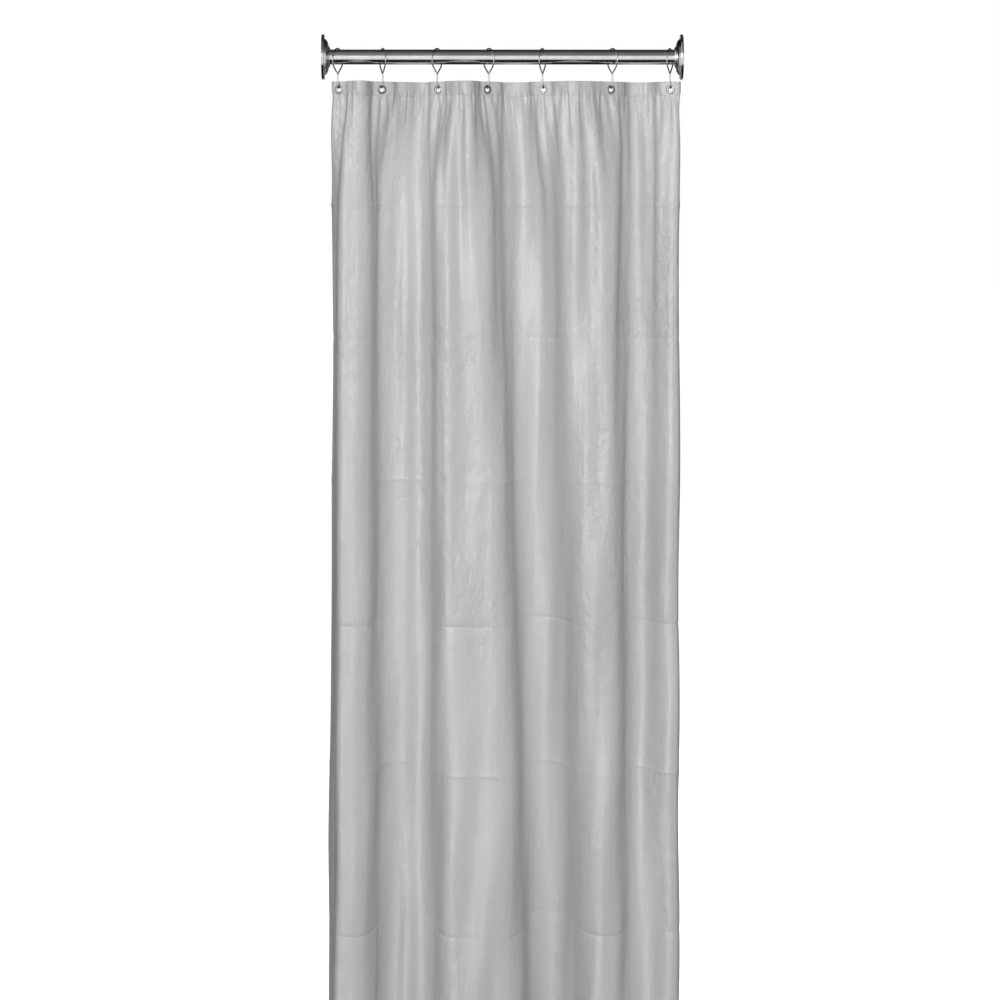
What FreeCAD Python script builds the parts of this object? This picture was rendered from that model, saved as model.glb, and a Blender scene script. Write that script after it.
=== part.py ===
"""A shower curtain gathered on a short rod between two walls.

Millimetres, +Z up. The origin is on the left wall, at the centre of the rod's end. +X runs along the rod to the
right wall, and the front of the curtain faces -Y.
"""

import FreeCAD, Part
import math
import os

Vector = FreeCAD.Vector
ALONG = Vector(1, 0, 0)

# Rod
WALL_TO_WALL = 610.0
ROD_DIAMETER = 25.4
ROD_WALL = 1.2

# Wall plates and their spigots
PLATE_DIAMETER = 56.0
PLATE_THICKNESS = 2.5
SPIGOT_PLAY = 0.2
SPIGOT_LENGTH = 14.0
SPIGOT_BORE = 15.0
SCREW_CIRCLE = 42.0
SCREW_HOLE_DIAMETER = 4.8
SCREW_COUNT = 3

# Flange covers
COVER_DIAMETER = 76.2
COVER_SHELL = 1.2
RIM_DEPTH = 4.5
RIM_ROUND = 1.0
RING_RADIUS = 31.0
STEP_DEPTH = 7.5
STEP_RADIUS = 29.2
DOME_DEPTH = 11.3
DOME_RADIUS = 20.0
DOME_BULGE = 0.8
HUB_DEPTH = 14.0
HUB_RADIUS = 17.0
HUB_ROUND = 1.5
HUB_BACK = 4.2
COVER_PLAY = 0.15
SET_SCREW_DIAMETER = 4.0
SET_SCREW_PLAY = 0.05
SET_SCREW_PLACE = 9.2
SET_SCREW_SOCKET = 2.0
SET_SCREW_SOCKET_DEPTH = 2.0

# Hooks: where each hangs on the rod, and how far each is turned about its stem
HOOK_PLACES = (26.6, 102.6, 194.7, 282.0, 372.8, 491.0, 588.4)
HOOK_TURNS = (-26.0, 17.0, -27.0, 28.0, -19.0, 25.0, -19.0)
WIRE_DIAMETER = 2.3
LOOP_RADIUS = 18.5
LOOP_TOP = 14.3
JUNCTION_DROP = 28.5
NECK_RADIUS = 5.0
LOOP_GAP = 4.2
J_RADIUS = 5.0
J_BOTTOM = -52.0
J_TIP = 3.0

# Grommets, each an eyelet clenched over a washer
HOLE_DIAMETER = 8.2
EYELET_BARREL = 9.6
EYELET_DIAMETER = 15.6
EYELET_LIP = 0.8
WASHER_THICKNESS = 0.7
WASHER_PLAY = 0.05
CLOTH_GAP = 0.3
BARREL_PLAY = 0.3
HOLE_LIFT = 0.35

# Curtain
CUT_LENGTH = 1829.0
CUT_WIDTH = 914.0
CLOTH_THICKNESS = 0.9
TOP_EDGE = -41.0
FLAT_HALF = 9.0
SHOULDER_RADIUS = 12.0
FOLD_RADIUS = 16.0
EDGE_RADIUS = 6.0
EDGE_TURN = 95.0
EDGE_TAIL = 1.0
STEEPEST = 88.0
HALVINGS = 40
SAME = 1e-6

wire_radius = WIRE_DIAMETER / 2
rod_radius = ROD_DIAMETER / 2
hook_count = len(HOOK_PLACES)
edge_margin = FLAT_HALF + EDGE_RADIUS * math.radians(EDGE_TURN) + EDGE_TAIL
grommet_pitch = (CUT_WIDTH - 2 * edge_margin) / (hook_count - 1)
grommet_height = J_BOTTOM + wire_radius + HOLE_LIFT - HOLE_DIAMETER / 2


def save(shape, name):
    shape.exportStep("parts/" + name + ".step")


def mirrored(shape):
    """The same piece at the right wall."""
    return shape.mirror(Vector(WALL_TO_WALL / 2, 0, 0), ALONG)


def revolved(edges):
    """A solid of revolution about the rod's axis, from a closed outline in the XZ plane."""
    face = Part.Face(Part.Wire(edges))
    return face.revolve(Vector(0, 0, 0), ALONG, 360)


def line(start, end):
    return Part.LineSegment(start, end).toShape()


def arc(start, middle, end):
    return Part.Arc(start, middle, end).toShape()


def profile_point(depth, radius):
    return Vector(depth, 0, radius)


def rod_tube():
    length = WALL_TO_WALL - 2 * PLATE_THICKNESS
    start = Vector(PLATE_THICKNESS, 0, 0)
    outside = Part.makeCylinder(rod_radius, length, start, ALONG)
    inside = Part.makeCylinder(rod_radius - ROD_WALL, length, start, ALONG)
    return outside.cut(inside)


def wall_plate():
    """A disc against the wall with a hollow spigot inside the rod and a circle of screw holes."""
    plate = Part.makeCylinder(PLATE_DIAMETER / 2, PLATE_THICKNESS, Vector(0, 0, 0), ALONG)
    spigot_radius = rod_radius - ROD_WALL - SPIGOT_PLAY
    spigot = Part.makeCylinder(spigot_radius, PLATE_THICKNESS + SPIGOT_LENGTH, Vector(0, 0, 0), ALONG)
    bore_start = Vector(PLATE_THICKNESS, 0, 0)
    bore = Part.makeCylinder(SPIGOT_BORE / 2, SPIGOT_LENGTH, bore_start, ALONG)
    plate = plate.fuse(spigot).removeSplitter().cut(bore)
    for number in range(SCREW_COUNT):
        turn = math.radians(90 + number * 360 / SCREW_COUNT)
        centre = Vector(0, math.cos(turn) * SCREW_CIRCLE / 2, math.sin(turn) * SCREW_CIRCLE / 2)
        plate = plate.cut(Part.makeCylinder(SCREW_HOLE_DIAMETER / 2, PLATE_THICKNESS, centre, ALONG))
    return plate


def set_screw_hole(diameter, length):
    """A cylinder that points down, out of the rod's underside, where the set screw goes."""
    start = Vector(SET_SCREW_PLACE, 0, -rod_radius)
    return Part.makeCylinder(diameter / 2, length, start, Vector(0, 0, -1))


def flange_cover():
    """A stepped dish, open at the wall, with a solid hub round the rod."""
    bore_radius = rod_radius + COVER_PLAY
    rim_radius = COVER_DIAMETER / 2
    round_middle = RIM_ROUND * (1 - math.sqrt(0.5))
    dome_middle_depth = (STEP_DEPTH + DOME_DEPTH) / 2 + DOME_BULGE
    dome_middle_radius = (STEP_RADIUS + DOME_RADIUS) / 2
    hub_middle = HUB_ROUND * (1 - math.sqrt(0.5))
    outline = [
        profile_point(0, rim_radius),
        profile_point(RIM_DEPTH - RIM_ROUND, rim_radius),
        profile_point(RIM_DEPTH, rim_radius - RIM_ROUND),
        profile_point(RIM_DEPTH, RING_RADIUS),
        profile_point(STEP_DEPTH, STEP_RADIUS),
        profile_point(DOME_DEPTH, DOME_RADIUS),
        profile_point(HUB_DEPTH - HUB_ROUND, HUB_RADIUS),
        profile_point(HUB_DEPTH, HUB_RADIUS - HUB_ROUND),
        profile_point(HUB_DEPTH, bore_radius),
        profile_point(HUB_BACK, bore_radius),
        profile_point(HUB_BACK, HUB_RADIUS),
        profile_point(DOME_DEPTH - COVER_SHELL, DOME_RADIUS - COVER_SHELL),
        profile_point(STEP_DEPTH - COVER_SHELL, STEP_RADIUS - COVER_SHELL / 2),
        profile_point(RIM_DEPTH - COVER_SHELL, RING_RADIUS - COVER_SHELL / 2),
        profile_point(RIM_DEPTH - COVER_SHELL, rim_radius - COVER_SHELL),
        profile_point(0, rim_radius - COVER_SHELL),
    ]
    bends = {
        1: profile_point(RIM_DEPTH - round_middle, rim_radius - round_middle),
        4: profile_point(dome_middle_depth, dome_middle_radius),
        6: profile_point(HUB_DEPTH - hub_middle, HUB_RADIUS - hub_middle),
    }
    edges = []
    for number, start in enumerate(outline):
        end = outline[(number + 1) % len(outline)]
        if number in bends:
            edges.append(arc(start, bends[number], end))
        else:
            edges.append(line(start, end))
    return revolved(edges).cut(set_screw_hole(SET_SCREW_DIAMETER, COVER_DIAMETER / 2))


def set_screw():
    length = HUB_RADIUS - rod_radius
    screw = set_screw_hole(SET_SCREW_DIAMETER - 2 * SET_SCREW_PLAY, length)
    mouth = Vector(SET_SCREW_PLACE, 0, -HUB_RADIUS)
    corner = Vector(SET_SCREW_PLACE + SET_SCREW_SOCKET / math.sqrt(3), 0, -HUB_RADIUS)
    hexagon = Part.makePolygon([turned(corner, mouth, 60 * side) for side in range(7)])
    return screw.cut(Part.Face(hexagon).extrude(Vector(0, 0, SET_SCREW_SOCKET_DEPTH)))


def turned(point, centre, angle):
    """The point turned about a vertical line through centre."""
    return FreeCAD.Rotation(Vector(0, 0, 1), angle).multVec(point - centre) + centre


def hook_wire_path():
    """The bent wire in the YZ plane: free end, loop over the rod, neck, stem and J, with the J towards +Y."""
    loop_centre = LOOP_TOP - LOOP_RADIUS
    reach = loop_centre + JUNCTION_DROP
    lean = math.asin(LOOP_RADIUS / reach)
    touch = Vector(0, LOOP_RADIUS * math.cos(lean), loop_centre - LOOP_RADIUS * math.sin(lean))
    front_touch = Vector(0, -touch.y, touch.z)
    slope = Vector(0, math.sin(lean), math.cos(lean))
    junction = Vector(0, 0, -JUNCTION_DROP)
    free_end = junction + Vector(0, -slope.y, slope.z) * LOOP_GAP
    neck_length = NECK_RADIUS * math.tan(lean / 2)
    neck_top = junction + slope * neck_length
    neck_bottom = junction - Vector(0, 0, neck_length)
    neck_centre = neck_bottom + Vector(0, NECK_RADIUS, 0)
    neck_middle = neck_centre + Vector(0, -math.cos(lean / 2), math.sin(lean / 2)) * NECK_RADIUS
    stem_end = Vector(0, 0, J_BOTTOM + J_RADIUS)
    j_bottom = Vector(0, J_RADIUS, J_BOTTOM)
    j_end = Vector(0, 2 * J_RADIUS, J_BOTTOM + J_RADIUS)
    return [
        line(free_end, front_touch),
        arc(front_touch, Vector(0, 0, LOOP_TOP), touch),
        line(touch, neck_top),
        arc(neck_top, neck_middle, neck_bottom),
        line(neck_bottom, stem_end),
        arc(stem_end, j_bottom, j_end),
        line(j_end, j_end + Vector(0, 0, J_TIP)),
    ]


def hook():
    """One wire hook with its stem on the Z axis, rounded at both ends."""
    edges = hook_wire_path()
    path = Part.Wire(edges)
    start = edges[0].Vertexes[0].Point
    heading = edges[0].Vertexes[1].Point - start
    section = Part.Wire(Part.makeCircle(wire_radius, start, heading))
    wire = path.makePipeShell([section], True, False)
    tip = edges[-1].Vertexes[1].Point
    return wire.fuse([Part.makeSphere(wire_radius, start), Part.makeSphere(wire_radius, tip)]).removeSplitter()


def grommet_centre():
    """The middle of the cloth in the grommet's hole, for a hook with its stem on the Z axis."""
    return Vector(0, J_RADIUS, grommet_height)


def ring(outer_diameter, inner_diameter, front, thickness):
    """A flat ring in the plane of the cloth, with its front face that far behind the cloth's middle."""
    start = grommet_centre() + Vector(0, front, 0)
    back = Vector(0, 1, 0)
    disc = Part.makeCylinder(outer_diameter / 2, thickness, start, back)
    return disc.cut(Part.makeCylinder(inner_diameter / 2, thickness, start, back))


def eyelet():
    """The front lip and the barrel through the cloth and the washer."""
    lip_front = -CLOTH_THICKNESS / 2 - CLOTH_GAP - EYELET_LIP
    barrel_length = EYELET_LIP + CLOTH_THICKNESS + 2 * CLOTH_GAP + WASHER_THICKNESS
    lip = ring(EYELET_DIAMETER, HOLE_DIAMETER, lip_front, EYELET_LIP)
    outer_edges = [edge for edge in lip.Edges if is_front_rim(edge, lip_front)]
    lip = lip.makeFillet(EYELET_LIP / 2, outer_edges)
    barrel = ring(EYELET_BARREL, HOLE_DIAMETER, lip_front + EYELET_LIP, barrel_length - EYELET_LIP)
    return lip.fuse(barrel).removeSplitter()


def is_front_rim(edge, lip_front):
    """True for the outer circle on the eyelet's front face."""
    circle = edge.Curve
    if not isinstance(circle, Part.Circle):
        return False
    on_front = abs(circle.Center.y - grommet_centre().y - lip_front) < SAME
    return on_front and abs(circle.Radius - EYELET_DIAMETER / 2) < SAME


def washer():
    front = CLOTH_THICKNESS / 2 + CLOTH_GAP
    return ring(EYELET_DIAMETER, EYELET_BARREL + 2 * WASHER_PLAY, front, WASHER_THICKNESS)


def placed(shape, number):
    """A hook, eyelet or washer turned about its stem and moved to its place on the rod."""
    moved = shape.copy()
    moved.rotate(Vector(0, 0, 0), Vector(0, 0, 1), HOOK_TURNS[number])
    moved.translate(Vector(HOOK_PLACES[number], 0, 0))
    return moved


def heading_vector(angle):
    return Vector(math.cos(math.radians(angle)), math.sin(math.radians(angle)), 0)


class Section:
    """The cloth seen from above: its two faces are built together from straight runs and arcs that meet smoothly."""

    def __init__(self, start, angle):
        self.point = start
        self.angle = angle
        self.near_edges = []
        self.far_edges = []

    def faced(self, point, angle, side):
        """The point on the near (-1) or far (1) face of the cloth."""
        return point + heading_vector(angle + 90) * (side * CLOTH_THICKNESS / 2)

    def run(self, length):
        end = self.point + heading_vector(self.angle) * length
        for side, edges in ((-1, self.near_edges), (1, self.far_edges)):
            edges.append(line(self.faced(self.point, self.angle, side), self.faced(end, self.angle, side)))
        self.point = end

    def bend(self, radius, angle):
        """Turns to the new angle on an arc of that radius."""
        turn = math.copysign(90, angle - self.angle)
        middle_angle = (self.angle + angle) / 2
        centre = self.point + heading_vector(self.angle + turn) * radius
        middle = centre - heading_vector(middle_angle + turn) * radius
        end = centre - heading_vector(angle + turn) * radius
        for side, edges in ((-1, self.near_edges), (1, self.far_edges)):
            first = self.faced(self.point, self.angle, side)
            last = self.faced(end, angle, side)
            edges.append(arc(first, self.faced(middle, middle_angle, side), last))
        self.point = end
        self.angle = angle

    def face(self):
        first_cap = line(self.near_edges[0].Vertexes[0].Point, self.far_edges[0].Vertexes[0].Point)
        last_cap = line(self.near_edges[-1].Vertexes[1].Point, self.far_edges[-1].Vertexes[1].Point)
        edges = self.near_edges + self.far_edges + [first_cap, last_cap]
        return Part.Face(Part.Wire(Part.__sortEdges__(edges)))


class Fold:
    """The fold between two grommets: shoulder, side, rounded top, side and shoulder."""

    def __init__(self, first_turn, last_turn, step):
        """step goes from one grommet to the next; the turns are the cloth's headings at them."""
        self.side = math.copysign(1, first_turn)
        self.first = math.radians(abs(first_turn))
        self.last = math.radians(abs(last_turn))
        self.step = step
        self.solve()

    def straight(self, steep):
        """The mean length of the two sides that spans the step along the rod."""
        flats = FLAT_HALF * (math.cos(self.first) + math.cos(self.last))
        shoulders = SHOULDER_RADIUS * (2 * math.sin(steep) - math.sin(self.first) - math.sin(self.last))
        top = 2 * FOLD_RADIUS * math.sin(steep)
        return (self.step.x - flats - shoulders - top) / (2 * math.cos(steep))

    def length(self, steep):
        shoulders = SHOULDER_RADIUS * (2 * steep - self.first - self.last)
        top = 2 * FOLD_RADIUS * steep
        return 2 * FLAT_HALF + shoulders + top + 2 * self.straight(steep)

    def solve(self):
        """Finds how steep the sides are when the cloth between two grommets is one grommet pitch long."""
        low = max(self.first, self.last)
        high = math.radians(STEEPEST)
        for _ in range(HALVINGS):
            middle = (low + high) / 2
            if self.length(middle) < grommet_pitch:
                low = middle
            else:
                high = middle
        self.steep = low
        rise = self.side * self.step.y - FLAT_HALF * (math.sin(self.first) - math.sin(self.last))
        rise -= SHOULDER_RADIUS * (math.cos(self.first) - math.cos(self.last))
        self.uneven = rise / (2 * math.sin(self.steep))

    def draw(self, section, last_turn):
        straight = self.straight(self.steep)
        side_angle = self.side * math.degrees(self.steep)
        section.bend(SHOULDER_RADIUS, side_angle)
        section.run(straight + self.uneven)
        section.bend(FOLD_RADIUS, -side_angle)
        section.run(straight - self.uneven)
        section.bend(SHOULDER_RADIUS, last_turn)


def grommet_points():
    """Where the cloth passes through the J of each hook, seen from above."""
    return [
        Vector(place, 0, 0) + heading_vector(turn + 90) * J_RADIUS
        for place, turn in zip(HOOK_PLACES, HOOK_TURNS)
    ]


def cloth_section():
    """The gathered cloth from its left edge to its right edge, which both turn back towards the far side."""
    grommets = grommet_points()
    first_turn = HOOK_TURNS[0]
    edge_angle = first_turn - EDGE_TURN
    flat_start = grommets[0] - heading_vector(first_turn) * FLAT_HALF
    centre = flat_start + heading_vector(first_turn + 90) * EDGE_RADIUS
    bend_start = centre - heading_vector(edge_angle + 90) * EDGE_RADIUS
    section = Section(bend_start - heading_vector(edge_angle) * EDGE_TAIL, edge_angle)
    section.run(EDGE_TAIL)
    section.bend(EDGE_RADIUS, first_turn)
    for number in range(hook_count - 1):
        last_turn = HOOK_TURNS[number + 1]
        fold = Fold(HOOK_TURNS[number], last_turn, grommets[number + 1] - grommets[number])
        section.run(2 * FLAT_HALF)
        fold.draw(section, last_turn)
    section.run(2 * FLAT_HALF)
    section.bend(EDGE_RADIUS, HOOK_TURNS[-1] + EDGE_TURN)
    section.run(EDGE_TAIL)
    return section


def curtain_panel():
    """The hanging cloth, with a hole for each grommet."""
    panel = cloth_section().face().extrude(Vector(0, 0, -CUT_LENGTH))
    panel.translate(Vector(0, 0, TOP_EDGE))
    hole_diameter = EYELET_BARREL + 2 * BARREL_PLAY
    holes = []
    for point, turn in zip(grommet_points(), HOOK_TURNS):
        through = heading_vector(turn + 90)
        start = Vector(point.x, point.y, grommet_height) - through * CLOTH_THICKNESS
        holes.append(Part.makeCylinder(hole_diameter / 2, 2 * CLOTH_THICKNESS, start, through))
    return panel.cut(holes)


def main():
    os.makedirs("parts", exist_ok=True)
    save(rod_tube(), "rod_tube")
    for build, name in ((wall_plate, "wall_plate"), (flange_cover, "flange_cover"), (set_screw, "set_screw")):
        piece = build()
        save(piece, name + "_left")
        save(mirrored(piece), name + "_right")
    for build, name in ((hook, "hook"), (eyelet, "grommet"), (washer, "grommet_washer")):
        piece = build()
        for number in range(hook_count):
            save(placed(piece, number), name + "_" + str(number + 1))
    save(curtain_panel(), "curtain_panel")


main()
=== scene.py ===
"""The look of the shower curtain: bright tube, flanges, wire hooks, grommets and the gathered vinyl sheet.

Metres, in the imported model's frame: the origin is on the left wall on the rod's axis, +X runs along the rod,
+Z is up and the front of the curtain faces -Y. The profiles of turned metal parts are in millimetres.
"""

import math

import bpy
import numpy as np
from mathutils import Matrix, Vector


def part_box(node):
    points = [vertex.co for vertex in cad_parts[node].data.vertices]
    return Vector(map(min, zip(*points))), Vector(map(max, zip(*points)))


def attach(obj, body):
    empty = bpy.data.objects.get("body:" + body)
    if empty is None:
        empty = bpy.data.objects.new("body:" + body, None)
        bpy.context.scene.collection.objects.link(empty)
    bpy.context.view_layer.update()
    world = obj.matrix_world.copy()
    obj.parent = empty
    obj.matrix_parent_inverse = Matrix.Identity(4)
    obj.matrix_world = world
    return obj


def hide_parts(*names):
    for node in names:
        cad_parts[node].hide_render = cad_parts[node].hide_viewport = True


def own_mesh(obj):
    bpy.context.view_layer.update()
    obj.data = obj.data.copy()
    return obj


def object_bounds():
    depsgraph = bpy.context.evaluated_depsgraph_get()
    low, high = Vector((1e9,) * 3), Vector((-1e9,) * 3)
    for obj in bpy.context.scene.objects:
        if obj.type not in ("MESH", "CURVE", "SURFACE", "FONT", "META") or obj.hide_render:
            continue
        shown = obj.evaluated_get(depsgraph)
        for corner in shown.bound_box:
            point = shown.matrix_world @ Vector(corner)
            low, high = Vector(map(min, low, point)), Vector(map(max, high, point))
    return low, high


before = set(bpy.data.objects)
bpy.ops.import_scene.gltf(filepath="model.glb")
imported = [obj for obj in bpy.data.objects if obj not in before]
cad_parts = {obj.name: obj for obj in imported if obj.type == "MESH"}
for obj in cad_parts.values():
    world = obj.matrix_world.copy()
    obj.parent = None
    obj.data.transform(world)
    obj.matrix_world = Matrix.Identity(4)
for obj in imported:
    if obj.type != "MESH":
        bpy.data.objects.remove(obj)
cad_low, cad_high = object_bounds()

MM = 0.001
HOOKS = 7
ROOT = "root"
CLOTH_BODY = "curtain"

# The cloth's cut and hems
CUT_WIDTH = 0.914
CUT_LENGTH = 1.829
TOP_HEM = 0.026
BOTTOM_HEM = 0.026
SIDE_HEM = 0.011
SEAM_INSET = 0.0022
FILM = 0.0004
HEM_FACTOR = 3.2
CREASE_HEIGHTS = (0.208, 0.434, 0.678, 0.920, 1.173, 1.446, 1.672)

# Seams and stitches
SEAM_HALF_WIDTH = 0.0018
SEAM_HEIGHT = 0.0011
STITCH_RADIUS = 0.00030
STITCH_SHARE = 0.72
STITCH_RINGS = ((0.0, -0.3, 0.55), (0.2, 0.55, 1.0), (0.8, 0.55, 1.0), (1.0, -0.3, 0.55))
HEM_STITCH, SIDE_STITCH = 0.0032, 0.0040
SEAM_END = 0.004
SIDE_SEAM_END = 0.030

# Relief of the film: height of each kind of unevenness
PUCKER = 0.0008
GROMMET_PLEAT = 0.0030
CREASE_LINE, CREASE_SHOULDER = 0.0011, 0.0007
UPRIGHT_CREASES = 8
UPRIGHT_CREASE = 0.0007
NARROW_WAVE, WIDE_WAVE = 0.0012, 0.00050
CALM_RADIUS = (0.0085, 0.018)

# The sheet's mesh and its held places
COLUMNS = 440
EDGE_MARGIN = 0.01995
PITCH = (CUT_WIDTH - 2 * EDGE_MARGIN) / (HOOKS - 1)
GROMMET_FLAT = 0.009
HOLE_RADIUS = 0.0054
EDGE_CURL = math.radians(95)
EDGE_ROUND = math.radians(92)
EDGE_SLACK = 1.06
EDGE_SLANT = 1.04
HELD_UNTIL, FREE_FROM = 0.0225, 0.23
HELD_SHARE = 0.8
PLEAT_LENGTHS = (0.027, 0.034, 0.043, 0.055, 0.073)
PLEAT_SWING = 0.26
SMOOTHING = 14
ROW_STEP = 0.0021
CLOSE_ROWS = 0.052
LEAST_ROW = 0.0012
FREE_ROWS = 350
BOTTOM_ROWS = 13

# Fold lines from left to right in millimetres: where each stands along the rod and how far back it is,
# near the top, in the middle and at the bottom of the curtain
FOLD_LEVELS = (0.15, 0.80, 1.829)
FOLD_LINES = (
    ((17, 12, 1), (26, 28, 30)),
    ((36, 31, 21), (-44, -45, -42)),
    ((57, 52, 44), (-49, -49, -46)),
    ((112, 116, 120), (40, 42, 38)),
    ((134, 138, 138), (35, 38, 34)),
    ((155, 152, 150), (40, 42, 38)),
    ((208, 216, 224), (-46, -50, -46)),
    ((226, 245, 258), (-38, -48, -46)),
    ((250, 286, 302), (-48, -52, -52)),
    ((338, 357, 392), (50, 53, 53)),
    ((424, 463, 482), (-38, -43, -38)),
    ((452, 472, 488), (-30, -42, -37)),
    ((470, 482, 494), (-38, -43, -37)),
    ((534, 537, 542), (40, 24, -14)),
    ((594, 596, 598), (-20, -24, -26)),
    ((604, 607, 609), (-10, -13, -15)),
)

# Flange covers, in millimetres from the wall and from the rod's axis
COVER_RADIUS = 38.1
COVER_SHELL = 1.2
RIM_DEPTH = 4.5
RIM_ROUND = 1.0
RING_RADIUS = 31.0
STEP_DEPTH, STEP_RADIUS = 7.5, 29.2
DOME_DEPTH, DOME_RADIUS = 11.3, 20.0
DOME_BULGE = 0.8
HUB_DEPTH, HUB_RADIUS = 14.0, 17.0
HUB_ROUND = 1.5
HUB_BACK = 4.2
HUB_BORE = 12.85

# Rod, in millimetres
ROD_WALL = 1.2

# Rounds at the corners of turned outlines, in millimetres
ROD_EASE = 0.2
COVER_EASE = 0.12
GROMMET_EASE = 0.1

# Hooks, in millimetres and degrees
HOOK_TURNS = (-26.0, 17.0, -27.0, 28.0, -19.0, 25.0, -19.0)
WIRE_RADIUS = 1.15
LOOP_RADIUS = 18.5
LOOP_TOP = 14.3
JUNCTION = -28.5
NECK_RADIUS = 5.0
LOOP_GAP = 4.2
J_RADIUS = 5.0
J_BOTTOM = -52.0
J_TIP = 3.0

# Grommets, in millimetres along and out from each one's axis
EYELET_RIM = (-0.8, 7.8)
EYELET_MOUTH = (-1.0, 4.1)
EYELET_BULGE = 0.65
EYELET_UNDERSIDE = -0.78
BARREL_RADIUS = 4.8
BARREL_END = 1.45
WASHER_RIM = (0.75, 7.78)
WASHER_MOUTH = (0.75, 4.87)
WASHER_BULGE = 0.7

# Camera: lens and sensor in millimetres, turns in degrees
CAMERA_PLACE = (0.25, -6.0, -0.241)
LOOK_DOWN = 4.862
LOOK_RIGHT = 0.487
LENS = 126.9
SENSOR = 36

# Room, light and greys
FLOOR_REACH = 60
FLOOR_GAP = 0.03
AMBIENT = 0.22
PANEL_GAIN = 10.5
LEFT_FLAG, RIGHT_FLAG = 0.15, 0.35
COOL = 1.015
REFLECTION_BANDS = (
    (0.0, 0.015), (0.15, 0.02), (0.21, 0.95), (0.60, 1.0), (0.68, 0.24), (0.90, 0.17), (1.0, 0.13),
)


# ---------------------------------------------------------------- places taken from the frame

def middle(node):
    low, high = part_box(node)
    return (Vector(low) + Vector(high)) / 2


rod_low, rod_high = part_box("rod_tube")
ROD_RADIUS = (rod_high[2] - rod_low[2]) / 2
WALLS = (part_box("flange_cover_left")[0][0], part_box("flange_cover_right")[1][0])
cloth_low, cloth_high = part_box("curtain_panel")
TOP_EDGE = cloth_high[2]
GROMMET_NODES = ["grommet_" + str(number + 1) for number in range(HOOKS)]
GROMMET_DOWN = TOP_EDGE - middle(GROMMET_NODES[0]).z


# ---------------------------------------------------------------- small mesh helpers

def new_object(name, vertices, faces, smooth=True):
    mesh = bpy.data.meshes.new(name)
    mesh.from_pydata([tuple(map(float, v)) for v in vertices], [], faces)
    mesh.validate()
    if smooth:
        mesh.polygons.foreach_set("use_smooth", [True] * len(mesh.polygons))
    piece = bpy.data.objects.new(name, mesh)
    bpy.context.scene.collection.objects.link(piece)
    return piece


def lathe(name, outline, sides=128):
    """A closed outline of (along, radius) points turned about the X axis."""
    vertices = []
    count = len(outline)
    for side in range(sides):
        turn = 2 * math.pi * side / sides
        for along, radius in outline:
            vertices.append((along, radius * math.cos(turn), radius * math.sin(turn)))
    faces = []
    for side in range(sides):
        after = (side + 1) % sides
        for point in range(count):
            follow = (point + 1) % count
            faces.append((side * count + point, side * count + follow,
                          after * count + follow, after * count + point))
    return new_object(name, vertices, faces)


def tube(name, points, radius, sides=20):
    """A round wire along points in one plane that holds the Z axis, with domed ends."""
    points = [np.array(p, float) for p in points]
    path = []
    radii = []
    tangents = []
    for number in range(len(points)):
        before = points[max(number - 1, 0)]
        after = points[min(number + 1, len(points) - 1)]
        tangent = (after - before) / np.linalg.norm(after - before)
        tangents.append(tangent)
    dome = (0.0, 0.35, 0.6, 0.82, 0.96)
    for share in dome:
        path.append(points[0] - tangents[0] * radius * math.sqrt(1 - share ** 2))
        radii.append(max(radius * share, radius * 0.02))
    path += points
    radii += [radius] * len(points)
    for share in reversed(dome):
        path.append(points[-1] + tangents[-1] * radius * math.sqrt(1 - share ** 2))
        radii.append(max(radius * share, radius * 0.02))
    tangents = [tangents[0]] * len(dome) + tangents + [tangents[-1]] * len(dome)
    span = points[-1] - points[0]
    across = np.cross((0, 0, 1), span)
    across /= np.linalg.norm(across)
    vertices = []
    for centre, reach, tangent in zip(path, radii, tangents):
        inward = np.cross(tangent, across)
        for side in range(sides):
            turn = 2 * math.pi * side / sides
            vertices.append(centre + reach * (math.cos(turn) * across + math.sin(turn) * inward))
    faces = []
    for ring in range(len(path) - 1):
        for side in range(sides):
            after = (side + 1) % sides
            faces.append((ring * sides + side, ring * sides + after,
                          (ring + 1) * sides + after, (ring + 1) * sides + side))
    faces.append(tuple(reversed(range(sides))))
    faces.append(tuple((len(path) - 1) * sides + side for side in range(sides)))
    return new_object(name, vertices, faces)


def arc_points(centre, radius, first, last, steps):
    """Points on an arc in a (p, z) plane; angles in degrees from +p."""
    turns = np.radians(np.linspace(first, last, steps))
    return [(centre[0] + radius * math.cos(t), centre[1] + radius * math.sin(t)) for t in turns]


def bulged(start, end, bulge, steps=7):
    """Points from start to end on a shallow curve that stands out by bulge, to the left, at its middle."""
    start, end = np.array(start), np.array(end)
    chord = end - start
    out = np.array((-chord[1], chord[0])) / np.linalg.norm(chord)
    return [tuple(start + chord * share + out * bulge * 4 * share * (1 - share))
            for share in np.linspace(0, 1, steps)]


def softened(corners, reach):
    """A closed outline with a small round at every corner and points beside it that keep the flats flat."""
    points = []
    for number, corner in enumerate(corners):
        corner = np.array(corner)
        sides = []
        for other in (corners[number - 1], corners[(number + 1) % len(corners)]):
            away = np.array(other) - corner
            length = np.linalg.norm(away)
            sides.append(away / length * min(reach, 0.22 * length))
        before, after = sides
        points += [corner + 2 * before, corner + before, corner + (before + after) / 4,
                   corner + after, corner + 2 * after]
    return points


def assign(piece, material):
    piece.data.materials.clear()
    piece.data.materials.append(material)


# ---------------------------------------------------------------- materials

def fresh_material(name):
    material = bpy.data.materials.new(name)
    material.use_nodes = True
    nodes = material.node_tree.nodes
    return material, nodes, material.node_tree.links, nodes["Principled BSDF"]


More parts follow.
